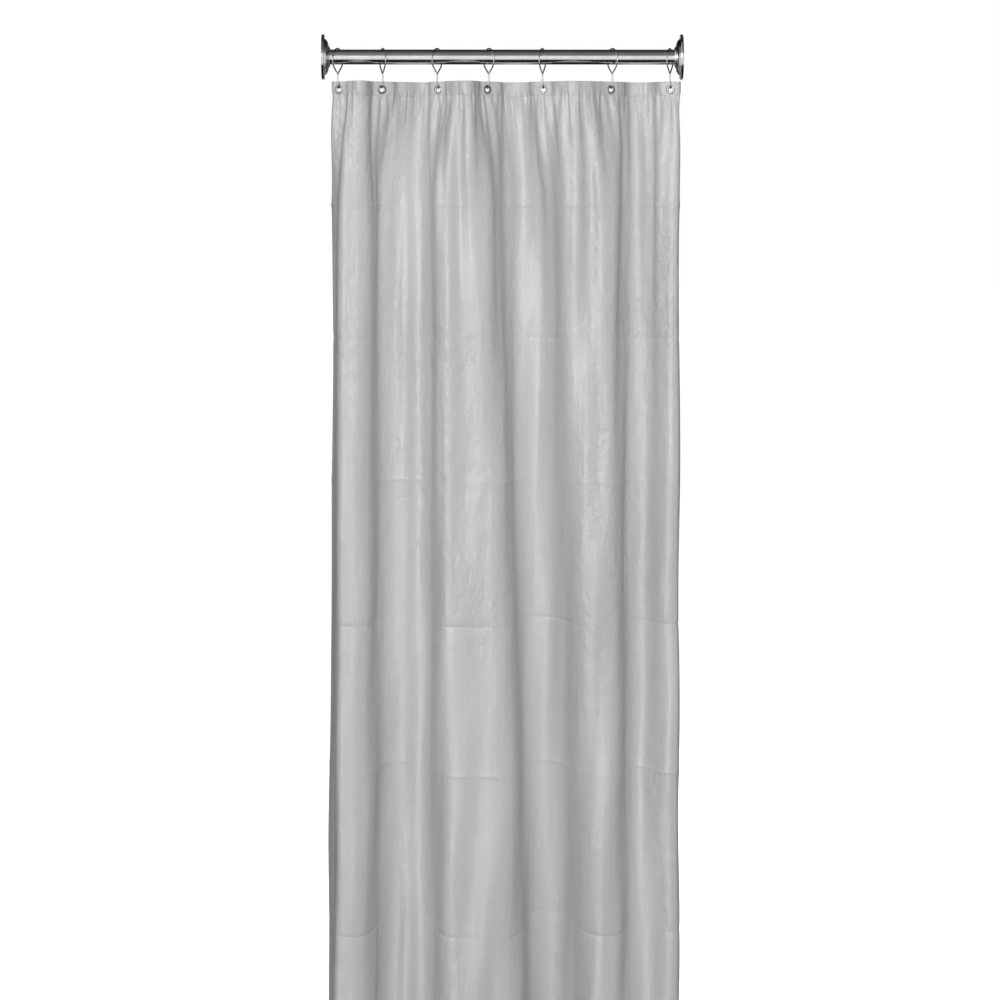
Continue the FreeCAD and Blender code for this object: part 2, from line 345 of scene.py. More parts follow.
def noise(nodes, links, scale, stretch=(1, 1, 1), detail=4.0, roughness=0.55):
    """A noise texture on object coordinates; stretch sets how fine it is along each axis."""
    place = nodes.new("ShaderNodeTexCoord")
    mapping = nodes.new("ShaderNodeMapping")
    mapping.inputs["Scale"].default_value = stretch
    texture = nodes.new("ShaderNodeTexNoise")
    texture.inputs["Scale"].default_value = scale
    texture.inputs["Detail"].default_value = detail
    texture.inputs["Roughness"].default_value = roughness
    links.new(place.outputs["Object"], mapping.inputs["Vector"])
    links.new(mapping.outputs["Vector"], texture.inputs["Vector"])
    return texture.outputs["Fac"]


def spread(nodes, links, value, low, high):
    """Maps a 0..1 value onto low..high, steepened about its middle."""
    mapper = nodes.new("ShaderNodeMapRange")
    mapper.inputs["From Min"].default_value = 0.3
    mapper.inputs["From Max"].default_value = 0.7
    mapper.inputs["To Min"].default_value = low
    mapper.inputs["To Max"].default_value = high
    links.new(value, mapper.inputs["Value"])
    return mapper.outputs["Result"]


def tint(nodes, links, value, dark, light):
    ramp = nodes.new("ShaderNodeValToRGB")
    ramp.color_ramp.elements[0].position = 0.3
    ramp.color_ramp.elements[1].position = 0.7
    ramp.color_ramp.elements[0].color = (*dark, 1)
    ramp.color_ramp.elements[1].color = (*light, 1)
    links.new(value, ramp.inputs["Fac"])
    return ramp.outputs["Color"]


def bump(nodes, links, height, strength, distance, normal=None):
    node = nodes.new("ShaderNodeBump")
    node.inputs["Strength"].default_value = strength
    node.inputs["Distance"].default_value = distance
    links.new(height, node.inputs["Height"])
    if normal is not None:
        links.new(normal, node.inputs["Normal"])
    return node.outputs["Normal"]


def between(nodes, links, value, first, last, low=0.0, high=1.0):
    """Goes smoothly from low at first to high at last."""
    mapper = nodes.new("ShaderNodeMapRange")
    mapper.interpolation_type = "SMOOTHSTEP"
    mapper.inputs["From Min"].default_value = first
    mapper.inputs["From Max"].default_value = last
    mapper.inputs["To Min"].default_value = low
    mapper.inputs["To Max"].default_value = high
    links.new(value, mapper.inputs["Value"])
    return mapper.outputs["Result"]


def product(nodes, links, *factors):
    result = factors[0]
    for factor in factors[1:]:
        times = nodes.new("ShaderNodeMath")
        times.operation = "MULTIPLY"
        links.new(result, times.inputs[0])
        links.new(factor, times.inputs[1])
        result = times.outputs["Value"]
    return result


def lifted(nodes, links, share, gain):
    """1 where the share is 0 and gain where it is 1."""
    node = nodes.new("ShaderNodeMath")
    node.operation = "MULTIPLY_ADD"
    node.inputs[1].default_value = gain - 1
    node.inputs[2].default_value = 1.0
    links.new(share, node.inputs[0])
    return node.outputs["Value"]


def plated_metal(name, dark, light, smooth, worn, grain):
    """Bright plated steel: faint polishing marks along grain, cloudy patches and fine pits."""
    material, nodes, links, shader = fresh_material(name)
    shader.inputs["Metallic"].default_value = 1.0
    cloud = noise(nodes, links, 22.0, detail=3.0)
    marks = noise(nodes, links, 60.0, stretch=grain, detail=6.0)
    links.new(tint(nodes, links, cloud, dark, light), shader.inputs["Base Color"])
    links.new(spread(nodes, links, marks, smooth, worn), shader.inputs["Roughness"])
    links.new(bump(nodes, links, marks, 0.12, 0.00004), shader.inputs["Normal"])
    return material


def vinyl():
    """Pale satin film: slight clouding, a fine vertical grain, patches of crinkle and pebbling."""
    material, nodes, links, shader = fresh_material("vinyl_film")
    cloud = noise(nodes, links, 9.0, stretch=(1.0, 1.0, 0.3), detail=5.0)
    pale = tint(nodes, links, cloud, (0.555, 0.555, 0.55), (0.63, 0.63, 0.625))
    links.new(pale, shader.inputs["Base Color"])
    streaks = noise(nodes, links, 120.0, stretch=(1.0, 1.0, 0.06), detail=5.0)
    links.new(spread(nodes, links, streaks, 0.31, 0.45), shader.inputs["Roughness"])
    crinkle = noise(nodes, links, 55.0, stretch=(1.0, 1.0, 0.7), detail=4.0, roughness=0.6)
    patches = noise(nodes, links, 7.0, stretch=(1.0, 1.0, 0.5), detail=2.0)
    parts = nodes.new("ShaderNodeSeparateXYZ")
    links.new(nodes.new("ShaderNodeTexCoord").outputs["Object"], parts.inputs["Vector"])
    upper = between(nodes, links, parts.outputs["Z"], -1.25, -0.65, 0.55, 1.0)
    patchy = product(nodes, links, crinkle, spread(nodes, links, patches, 0.25, 1.0), upper)
    pebble = noise(nodes, links, 900.0, detail=2.0)
    grained = bump(nodes, links, streaks, 0.22, 0.0042)
    creased = bump(nodes, links, patchy, 0.85, 0.0065, grained)
    links.new(bump(nodes, links, pebble, 0.25, 0.00012, creased), shader.inputs["Normal"])
    shader.inputs["Sheen Weight"].default_value = 0.06
    shader.inputs["Specular IOR Level"].default_value = 0.5
    return material


def thread():
    material, nodes, links, shader = fresh_material("hem_thread")
    twist = noise(nodes, links, 1500.0, detail=2.0)
    links.new(tint(nodes, links, twist, (0.34, 0.34, 0.33), (0.48, 0.48, 0.47)), shader.inputs["Base Color"])
    links.new(bump(nodes, links, twist, 0.4, 0.0001), shader.inputs["Normal"])
    shader.inputs["Roughness"].default_value = 0.7
    return material


def pale_floor():
    material, _, _, shader = fresh_material("pale_floor")
    shader.inputs["Base Color"].default_value = (0.9, 0.9, 0.9, 1)
    shader.inputs["Roughness"].default_value = 0.9
    shader.inputs["Emission Color"].default_value = (1, 1, 1, 1)
    shader.inputs["Emission Strength"].default_value = 0.84
    return material


def grey_metal(name, dark, light, smooth, worn, grain=(1, 1, 1)):
    """Plated metal between two near-neutral greys."""
    return plated_metal(name, (dark, dark, dark * COOL), (light, light, light * COOL), smooth, worn, grain)


TUBE_METAL = grey_metal("bright_tube_metal", 0.66, 0.78, 0.10, 0.20, grain=(0.12, 1, 1))
COVER_METAL = grey_metal("cover_metal", 0.52, 0.66, 0.10, 0.24)
PLATE_METAL = grey_metal("plate_metal", 0.42, 0.55, 0.30, 0.50)
SCREW_METAL = grey_metal("screw_metal", 0.28, 0.40, 0.28, 0.45)
WIRE_METAL = grey_metal("hook_wire_metal", 0.27, 0.37, 0.16, 0.32, grain=(1, 1, 0.2))
GROMMET_METAL = grey_metal("grommet_metal", 0.20, 0.30, 0.24, 0.40)
VINYL = vinyl()
THREAD = thread()


# ---------------------------------------------------------------- rod and flanges

def rod():
    """The tube, with enough sides for clean reflections."""
    start, end = rod_low[0], rod_high[0]
    bore = ROD_RADIUS - ROD_WALL * MM
    corners = [(start, ROD_RADIUS), (end, ROD_RADIUS), (end, bore), (start, bore)]
    piece = lathe("bright_rod", softened(corners, ROD_EASE * MM))
    assign(piece, TUBE_METAL)
    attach(piece, ROOT)
    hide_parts("rod_tube")


def cover_outline():
    """Rim, flat ring, step, domed shoulder and hub, then back along the inside of the shell."""
    corners = [(0, COVER_RADIUS)]
    corners += arc_points((RIM_DEPTH - RIM_ROUND, COVER_RADIUS - RIM_ROUND), RIM_ROUND, 90, 0, 4)
    corners.append((RIM_DEPTH, RING_RADIUS))
    corners += bulged((STEP_DEPTH, STEP_RADIUS), (DOME_DEPTH, DOME_RADIUS), DOME_BULGE)
    corners += arc_points((HUB_DEPTH - HUB_ROUND, HUB_RADIUS - HUB_ROUND), HUB_ROUND, 90, 0, 4)
    corners += [
        (HUB_DEPTH, HUB_BORE), (HUB_BACK, HUB_BORE), (HUB_BACK, HUB_RADIUS),
        (DOME_DEPTH - COVER_SHELL, DOME_RADIUS - COVER_SHELL),
        (STEP_DEPTH - COVER_SHELL, STEP_RADIUS - COVER_SHELL / 2),
        (RIM_DEPTH - COVER_SHELL, RING_RADIUS - COVER_SHELL / 2),
        (RIM_DEPTH - COVER_SHELL, COVER_RADIUS - COVER_SHELL), (0, COVER_RADIUS - COVER_SHELL),
    ]
    return softened(corners, COVER_EASE)


def covers():
    for side, wall, sign in (("left", WALLS[0], 1), ("right", WALLS[1], -1)):
        outline = [(wall + sign * along * MM, radius * MM) for along, radius in cover_outline()]
        if sign < 0:
            outline.reverse()
        piece = lathe("flange_" + side, outline)
        assign(piece, COVER_METAL)
        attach(piece, ROOT)
        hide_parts("flange_cover_" + side)
        assign(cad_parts["wall_plate_" + side], PLATE_METAL)
        assign(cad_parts["set_screw_" + side], SCREW_METAL)


# ---------------------------------------------------------------- hooks and grommets

def hook_outline():
    """The wire's middle line in millimetres as (p, z): free end, loop, neck, stem and J towards +p."""
    loop_z = LOOP_TOP - LOOP_RADIUS
    lean = math.asin(LOOP_RADIUS / (loop_z - JUNCTION))
    sine, cosine = math.sin(lean), math.cos(lean)
    lean_degrees = math.degrees(lean)
    touch = (LOOP_RADIUS * cosine, loop_z - LOOP_RADIUS * sine)
    neck = NECK_RADIUS * math.tan(lean / 2)
    free = (-sine * LOOP_GAP, JUNCTION + cosine * LOOP_GAP)
    points = [free, ((free[0] - touch[0]) / 2, (free[1] + touch[1]) / 2)]
    points += arc_points((0, loop_z), LOOP_RADIUS, 180 + lean_degrees, -lean_degrees, 49)
    points += arc_points((NECK_RADIUS, JUNCTION - neck), NECK_RADIUS, 180 - lean_degrees, 180, 9)
    points.append((0, (JUNCTION - neck + J_BOTTOM + J_RADIUS) / 2))
    points += arc_points((J_RADIUS, J_BOTTOM + J_RADIUS), J_RADIUS, 180, 360, 21)
    points.append((2 * J_RADIUS, J_BOTTOM + J_RADIUS + J_TIP))
    return points


def hook_stem(number):
    """The hook's stem seen from above: the hook's box is turned about it."""
    low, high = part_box("hook_" + str(number + 1))
    turn = math.radians(HOOK_TURNS[number])
    return Vector(((low[0] + high[0]) / 2, (low[1] + high[1]) / 2, 0)), turn


def hooks():
    outline = hook_outline()
    for number in range(HOOKS):
        stem, turn = hook_stem(number)
        back = (-math.sin(turn), math.cos(turn))
        points = [(stem.x + p * MM * back[0], stem.y + p * MM * back[1], z * MM) for p, z in outline]
        piece = tube("wire_hook_" + str(number + 1), points, WIRE_RADIUS * MM)
        assign(piece, WIRE_METAL)
        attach(piece, "hook_" + str(number + 1) + "_body")
        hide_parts("hook_" + str(number + 1))


def eyelet_outline():
    corners = bulged(EYELET_MOUTH, EYELET_RIM, EYELET_BULGE)
    corners += [(EYELET_UNDERSIDE, BARREL_RADIUS), (BARREL_END, BARREL_RADIUS), (BARREL_END, EYELET_MOUTH[1])]
    return softened(corners, GROMMET_EASE)


def washer_outline():
    return softened(bulged(WASHER_RIM, WASHER_MOUTH, WASHER_BULGE), GROMMET_EASE)


def turned_lathe(name, profile, centre, turn):
    """A ring whose axis is level and turned from +Y."""
    piece = lathe(name, [(along * MM, radius * MM) for along, radius in profile], sides=56)
    axis = Vector((-math.sin(turn), math.cos(turn), 0))
    spin = Vector((1, 0, 0)).rotation_difference(axis).to_matrix().to_4x4()
    piece.data.transform(spin)
    piece.data.transform(Matrix.Translation(centre))
    return piece


def grommets():
    for number in range(HOOKS):
        turn = math.radians(HOOK_TURNS[number])
        name = str(number + 1)
        height = middle(GROMMET_NODES[number]).z
        centre = Vector((*grommet_place(number), height))
        for kind, profile in (("grommet", eyelet_outline()), ("grommet_washer", washer_outline())):
            piece = turned_lathe("round_" + kind + "_" + name, profile, centre, turn)
            assign(piece, GROMMET_METAL)
            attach(piece, "hook_" + name + "_body")
            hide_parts(kind + "_" + name)


# ---------------------------------------------------------------- the sheet

def rises(values, low, high):
    """A smooth step from 0 at low to 1 at high."""
    share = np.clip((np.asarray(values, float) - low) / (high - low), 0, 1)
    return share * share * (3 - 2 * share)


def grommet_place(number):
    stem, turn = hook_stem(number)
    return np.array((stem.x - math.sin(turn) * J_RADIUS * MM, stem.y + math.cos(turn) * J_RADIUS * MM))


def heading_pleats(across):
    """Small pleats that take up some of the cloth close under the hooks."""
    rng = np.random.default_rng(21)
    swing = np.zeros_like(across)
    for length in PLEAT_LENGTHS:
        group = np.sin(2 * np.pi * across / rng.uniform(0.11, 0.31) + rng.uniform(0, 6.28))
        swing += rng.uniform(0.75, 1.0) * group * np.sin(2 * np.pi * across / length + rng.uniform(0, 6.28))
    return PLEAT_SWING * swing


def held_headings(across):
    """The cloth's heading along the line of the grommets: the folds just below, drawn in to every hook."""
    below = smoothed(hanging_headings(across, FOLD_LEVELS[0]), SMOOTHING)
    headings = HELD_SHARE * below + heading_pleats(across)
    turns = [math.radians(turn) for turn in HOOK_TURNS]
    places = [grommet_place(number) for number in range(HOOKS)]
    for number in range(HOOKS):
        aside = np.abs(across - EDGE_MARGIN - number * PITCH)
        near = 1 - rises(aside, GROMMET_FLAT, 3 * GROMMET_FLAT)
        near[(across < EDGE_MARGIN) & (number == 0)] = 1
        near[(across > CUT_WIDTH - EDGE_MARGIN) & (number == HOOKS - 1)] = 1
        headings += (turns[number] - headings) * near
    headings -= EDGE_CURL * rises(EDGE_MARGIN - across, GROMMET_FLAT, EDGE_MARGIN)
    headings += EDGE_CURL * rises(across - CUT_WIDTH + EDGE_MARGIN, GROMMET_FLAT, EDGE_MARGIN)
    step = across[1] - across[0]
    for number in range(HOOKS - 1):
        start = EDGE_MARGIN + number * PITCH
        share = (across - start) / PITCH
        inside = (share >= 0) & (share <= 1)
        share = np.clip((share - 0.06) / 0.88, 0, 1)
        swing, lean = np.sin(2 * np.pi * share) * inside, np.sin(np.pi * share) ** 2 * inside
        for _ in range(20):
            x, y = summed(headings, step)
            ends = [np.array((np.interp(spot, across, x), np.interp(spot, across, y)))
                    for spot in (start, start + PITCH)]
            miss = places[number + 1] - places[number] - (ends[1] - ends[0])
            sines, cosines = np.sin(headings), np.cos(headings)
            slope = np.array(((-(sines * swing).sum(), -(sines * lean).sum()),
                              ((cosines * swing).sum(), (cosines * lean).sum()))) * step
            change = np.clip(np.linalg.solve(slope, miss), -0.2, 0.2)
            headings = headings + change[0] * swing + change[1] * lean
    return headings


def fold_tables():
    """How much a fold side of bend b rises and how long it is, for every unit it runs along the rod."""
    bends = np.linspace(0, 2.2, 221)
    share = (np.arange(200) + 0.5) / 200
    angles = bends[:, None] * np.sin(np.pi * share)[None, :]
    along = np.cos(angles).mean(axis=1)
    return bends, np.sin(angles).mean(axis=1) / along, 1 / along


BENDS, RISE_PER_RUN, LENGTH_PER_RUN = fold_tables()


def hanging_headings(across, down):
    """The cloth's heading across one level where it hangs free: it swings from fold line to fold line."""
    x, y = fold_places(down)
    run = np.diff(x)
    low, high = 0.2, 2.5
    for _ in range(40):
        depth = (low + high) / 2
        rise = np.diff(y) * depth
        lengths = run * np.interp(np.abs(rise) / run, RISE_PER_RUN, LENGTH_PER_RUN)
        lengths[0] = EDGE_SLACK * math.hypot(run[0], rise[0])
        lengths[-1] = run[-1] * EDGE_ROUND / math.sin(EDGE_ROUND)
        if lengths.sum() < CUT_WIDTH:
            low = depth
        else:
            high = depth
    bend = np.sign(rise) * np.interp(np.abs(rise) / run, RISE_PER_RUN, BENDS)
    ends = np.concatenate(([0], np.cumsum(lengths)))
    ends *= CUT_WIDTH / ends[-1]
    number = np.clip(np.searchsorted(ends, across, side="right") - 1, 0, len(run) - 1)
    share = (across - ends[number]) / (ends[number + 1] - ends[number])
    shape = np.sin(np.pi * share)
    headings = bend[number] * shape
    slant = EDGE_SLANT * math.atan2(rise[0], run[0])
    headings = np.where(number == 0, slant * (1 - rises(share, 0.78, 1)), headings)
    return np.where(number == len(run) - 1, EDGE_ROUND * share, headings)


def fold_places(down):
    """Where the fold lines stand at a distance down the cloth, in metres."""
    low, mid, high = FOLD_LEVELS
    down = max(down, low)
    weights = (
        (down - mid) * (down - high) / ((low - mid) * (low - high)),
        (down - low) * (down - high) / ((mid - low) * (mid - high)),
        (down - low) * (down - mid) / ((high - low) * (high - mid)),
    )
    places = np.tensordot(np.array(FOLD_LINES, float), weights, axes=([2], [0])) * MM
    return places[:, 0], places[:, 1]


def summed(headings, step):
    """Points at every column from the first, by walking along the headings."""
    middles = (headings[1:] + headings[:-1]) / 2
    x = np.concatenate(([0], np.cumsum(np.cos(middles)))) * step
    y = np.concatenate(([0], np.cumsum(np.sin(middles)))) * step
    return x, y


def smoothed(values, times):
    for _ in range(times):
        inner = (values[:-2] + 2 * values[1:-1] + values[2:]) / 4
        values = np.concatenate((values[:1], inner, values[-1:]))
    return values


def cloth_rows(across, down):
    """Place (x, y) and heading of every point of the cloth's middle, row by row."""
    step = across[1] - across[0]
    top = held_headings(across)
    top_x, top_y = summed(top, step)
    first = grommet_place(0)
    start_top = np.array((first[0] - np.interp(EDGE_MARGIN, across, top_x),
                          first[1] - np.interp(EDGE_MARGIN, across, top_y)))
    end_top = start_top + np.array((top_x[-1], top_y[-1]))
    swell = np.sin(np.pi * across / CUT_WIDTH)
    rows_x, rows_y, rows_heading = [], [], []
    for level in down:
        free = rises(level, HELD_UNTIL, FREE_FROM) ** 0.7
        places_x, places_y = fold_places(level)
        low = smoothed(hanging_headings(across, level), SMOOTHING)
        start_low = np.array((places_x[0], places_y[0]))
        end_low = np.array((places_x[-1], places_y[-1]))
        start = start_top + (start_low - start_top) * free
        end = end_top + (end_low - end_top) * free
        headings = top + (low - top) * free
        wide, lean = 1.0, 0.0
        for _ in range(6):
            bent = headings * wide + lean * swell
            x, y = summed(bent, step)
            miss = (end - start) - np.array((x[-1], y[-1]))
            sines, cosines = np.sin(bent), np.cos(bent)
            slope = np.array(((-(sines * headings).sum(), -(sines * swell).sum()),
                              ((cosines * headings).sum(), (cosines * swell).sum()))) * step
            wide, lean = np.array((wide, lean)) + np.linalg.solve(slope, miss)
        bent = headings * wide + lean * swell
        x, y = summed(bent, step)
        rows_x.append(x + start[0])
        rows_y.append(y + start[1])
        rows_heading.append(bent)
    return np.array(rows_x), np.array(rows_y), np.array(rows_heading)


def seam_puckers(across, down, rng):
    """Fine ripples on both sides of the top seam, and the seams' own ridges."""
    below = down - TOP_HEM
    fade = np.where(below > 0, np.exp(-np.abs(below) / 0.022), np.exp(-np.abs(below) / 0.007))
    ripple = np.zeros_like(down)
    for _ in range(9):
        length = rng.uniform(0.007, 0.019)
        ripple += np.sin(2 * np.pi * across / length + rng.uniform(0, 6.28)) * rng.uniform(0.4, 1.0)
    height = PUCKER * ripple * fade
    for seam in (TOP_HEM - SEAM_INSET, CUT_LENGTH - BOTTOM_HEM + SEAM_INSET):
        height += SEAM_HEIGHT * np.exp(-((down - seam) / SEAM_HALF_WIDTH) ** 2)
    return height


def grommet_pleats(across, down, rng):
    """Pleats that fan out below every grommet."""
    height = np.zeros_like(down)
    under = np.clip(down - GROMMET_DOWN, 0, None)
    fan = 1 + under / 0.11
    for number in range(HOOKS):
        aside = across - (EDGE_MARGIN + number * PITCH)
        pleats = np.cos(2 * np.pi * (aside - rng.uniform(-0.002, 0.002)) / (0.016 * fan))
        reach = np.exp(-(aside / (0.019 * fan)) ** 2) * np.exp(-under / 0.13)
        height += GROMMET_PLEAT * pleats * reach * rises(under, 0.002, 0.035)
    return height


def packing_creases(across, down, rng):
    """Sharp lines with soft shoulders, every second one the other way, where the sheet was folded flat."""
    height = np.zeros_like(down)
    for number, crease in enumerate(CREASE_HEIGHTS):
        away = np.abs(down - crease)
        strength = rng.uniform(0.8, 1.15) * (1 if number % 2 else -1)
        uneven = 0.6 + 0.5 * np.sin(2 * np.pi * across / rng.uniform(0.15, 0.3) + rng.uniform(0, 6.28))
        line = CREASE_LINE * np.exp(-away / 0.003)
        height += strength * uneven * (line + CREASE_SHOULDER * np.exp(-away / 0.028))
    for number in range(1, UPRIGHT_CREASES):
        away = np.abs(across - CUT_WIDTH * number / UPRIGHT_CREASES - rng.uniform(-0.004, 0.004))
        strength = 1 if number % 2 else -1
        broken = 0.6 + 0.4 * np.sin(2 * np.pi * down / rng.uniform(0.3, 0.7) + rng.uniform(0, 6.28))
        height += strength * broken * UPRIGHT_CREASE * np.exp(-away / 0.0045) * rises(down, 0.03, 0.12)
    return height


def slow_waves(across, down, rng):
    """Narrow waves that die out below the hooks, and wide faint ones all the way down."""
    height = np.zeros_like(down)
    for _ in range(14):
        wide = rng.uniform(0.022, 0.050)
        wave = np.sin(2 * np.pi * (across / wide + down * rng.uniform(-0.6, 0.6)) + rng.uniform(0, 6.28))
        gust = rises(np.sin(2 * np.pi * across / rng.uniform(0.15, 0.5) + rng.uniform(0, 6.28)), -0.2, 0.8)
        fade = rises(down, 0.01, 0.06) * np.exp(-down / rng.uniform(0.12, 0.5))
        height += NARROW_WAVE * wide / 0.035 * wave * gust * fade
    for _ in range(22):
        wide = rng.uniform(0.035, 0.16)
        tall = rng.uniform(0.35, 1.6)
        wave = np.sin(2 * np.pi * (across / wide + down / tall) + rng.uniform(0, 6.28))
        gust = 0.5 + 0.5 * np.sin(2 * np.pi * down / rng.uniform(0.6, 1.9) + rng.uniform(0, 6.28))
        height += WIDE_WAVE * (wide / 0.08) ** 0.8 * wave * gust * rises(down, 0.02, 0.12)
    return height


def relief(across, down):
    """How far the film stands off its smooth folds."""
    rng = np.random.default_rng(7)
    height = seam_puckers(across, down, rng)
    height += grommet_pleats(across, down, rng)
    height += packing_creases(across, down, rng)
    return height + slow_waves(across, down, rng)


def level_heights():
    """Distances down the cloth of every row, with a row on each crease and close rows at the hems."""
    hem = np.arange(0, CLOSE_ROWS, ROW_STEP)
    rows = [hem, np.linspace(CLOSE_ROWS, CUT_LENGTH - BOTTOM_HEM - 0.004, FREE_ROWS)]
    rows.append(np.linspace(CUT_LENGTH - BOTTOM_HEM - 0.002, CUT_LENGTH, BOTTOM_ROWS))
    for crease in CREASE_HEIGHTS:
        rows.append(crease + np.array((-0.006, -0.0035, -0.0018, 0, 0.0018, 0.0035, 0.006)))
    rows = np.unique(np.round(np.concatenate(rows), 5))
    keep = [rows[0]]
    for row in rows[1:]:
        on_crease = min(abs(row - crease) for crease in CREASE_HEIGHTS) < 1e-4
        if on_crease and row - keep[-1] < LEAST_ROW:
            keep[-1] = row
        elif row - keep[-1] >= LEAST_ROW or row == rows[-1]:
            keep.append(row)
    return np.array(keep)


def crease_bow(down):
    """How much lower a crease runs where the cloth stands nearer: it was folded by eye, not square."""
    return np.interp(down, (0.70, 0.92, 1.17, 1.44, 1.66, 1.80), (0, 0.085, 0.14, 0.29, 0.16, 0))


def cloth_grid():
    """The middle surface as a grid of points, its outward normals and its thickness."""
    across = np.linspace(0, CUT_WIDTH, COLUMNS)
    down = level_heights()
    x, y, heading = cloth_rows(across, down)
    wide, deep = np.meshgrid(across, down)
    bow = crease_bow(down)[:, None] * -y
    flat_down = deep + bow
    points = np.stack((x, y, TOP_EDGE - flat_down), axis=-1)
    calm = np.ones_like(deep)
    for number in range(HOOKS):
        distance = np.hypot(wide - EDGE_MARGIN - number * PITCH, deep - GROMMET_DOWN)
        calm *= rises(distance, *CALM_RADIUS)
    facing = np.stack((-np.sin(heading), np.cos(heading), np.zeros_like(heading)), axis=-1)
    points += facing * (relief(wide, deep) * calm)[..., None]
    side = np.gradient(points, axis=1)
    fall = np.gradient(points, axis=0)
    normal = np.cross(side, -fall)
    normal /= np.linalg.norm(normal, axis=-1, keepdims=True)
    normal *= np.sign((normal * facing).sum(axis=-1, keepdims=True))
    edge = np.minimum(wide, CUT_WIDTH - wide)
    bottom_fold = CUT_LENGTH - BOTTOM_HEM
    top_hem = 1 - rises(deep, TOP_HEM, TOP_HEM + 0.002)
    hem = np.maximum(top_hem, rises(deep, bottom_fold - 0.002, bottom_fold))
    hem = np.maximum(hem, 0.7 * (1 - rises(edge, SIDE_HEM, SIDE_HEM + 0.003)))
    thickness = FILM * (1 + (HEM_FACTOR - 1) * hem)
    return across, down, points, normal, thickness


def open_cells(across, down, points, normal):
    """Which cells of the grid are cloth; the rims of the grommet holes are drawn onto circles."""
    middle_across = (across[1:] + across[:-1]) / 2
    middle_down = (down[1:] + down[:-1]) / 2
    cloth = np.ones((len(down) - 1, len(across) - 1), bool)
    for number in range(HOOKS):
        centre = EDGE_MARGIN + number * PITCH
        distance = np.hypot(middle_across[None, :] - centre, middle_down[:, None] - GROMMET_DOWN)
        hole = distance < HOLE_RADIUS
        cloth &= ~hole
        turn = math.radians(HOOK_TURNS[number])
        place = grommet_place(number)
        for row, column in rim_corners(hole):
            aside = across[column] - centre
            below = down[row] - GROMMET_DOWN
            scale = HOLE_RADIUS / max(math.hypot(aside, below), 1e-6)
            aside, below = aside * scale, below * scale
            points[row, column] = (place[0] + aside * math.cos(turn), place[1] + aside * math.sin(turn),
                                   TOP_EDGE - GROMMET_DOWN - below)
            normal[row, column] = (-math.sin(turn), math.cos(turn), 0)
    return cloth


def rim_corners(hole):
    """Corners of the grid that touch both a cell of the hole and a cell of cloth."""
    padded = np.pad(hole, 1)
    count = (padded[1:, 1:].astype(int) + padded[:-1, 1:] + padded[1:, :-1] + padded[:-1, :-1])
    return np.argwhere((count > 0) & (count < 4))


def sheet_mesh(points, normal, thickness, cloth):
    """Front and back layers with closed rims."""
    rows, columns = thickness.shape
    half = (normal * thickness[..., None] / 2).reshape(-1, 3)
    flat = points.reshape(-1, 3)
    vertices = np.concatenate((flat - half, flat + half))
    back = rows * columns

    def index(row, column):
        return row * columns + column

    faces = []
    padded = np.pad(cloth, 1)
    for row, column in np.argwhere(cloth):
        a, b = index(row, column), index(row, column + 1)
        c, d = index(row + 1, column + 1), index(row + 1, column)
        faces.append((a, d, c, b))
        faces.append((a + back, b + back, c + back, d + back))
        if not padded[row, column + 1]:
            faces.append((a, b, b + back, a + back))
        if not padded[row + 2, column + 1]:
            faces.append((c, d, d + back, c + back))
        if not padded[row + 1, column]:
            faces.append((d, a, a + back, d + back))
        if not padded[row + 1, column + 2]:
            faces.append((b, c, c + back, b + back))
    used = np.zeros(len(vertices), bool)
    used[np.unique(np.array(faces))] = True
    renumber = np.cumsum(used) - 1
    return vertices[used], [tuple(renumber[list(face)]) for face in faces]


def curtain():
    across, down, points, normal, thickness = cloth_grid()
    cloth = open_cells(across, down, points, normal)
    vertices, faces = sheet_mesh(points, normal, thickness, cloth)
    sheet = new_object("vinyl_curtain", vertices, faces)
    assign(sheet, VINYL)
    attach(sheet, CLOTH_BODY)
    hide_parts("curtain_panel")
    seams = stitches(across, down, points, normal, thickness)
    for piece in [sheet] + seams:
        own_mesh(piece)


def looked_up(across, down, grid, at_across, at_down):
    """Values of a grid between its points."""
    column = np.interp(at_across, across, np.arange(len(across)))
    row = np.interp(at_down, down, np.arange(len(down)))
    left = np.clip(column.astype(int), 0, len(across) - 2)
    above = np.clip(row.astype(int), 0, len(down) - 2)
    right_share = (column - left)[:, None]
    low_share = (row - above)[:, None]
    upper = grid[above, left] * (1 - right_share) + grid[above, left + 1] * right_share
    lower = grid[above + 1, left] * (1 - right_share) + grid[above + 1, left + 1] * right_share
    return upper * (1 - low_share) + lower * low_share


def seam_line(start, end, pitch):
    """Both ends of every stitch along a straight line on the flat cloth."""
    start, end = np.array(start), np.array(end)
    length = np.linalg.norm(end - start)
    count = int(length / pitch)
    begins = np.linspace(0, 1, count, endpoint=False)[:, None]
    step = (end - start) * (STITCH_SHARE / count)
    first = start + (end - start) * begins
    return first, first + step


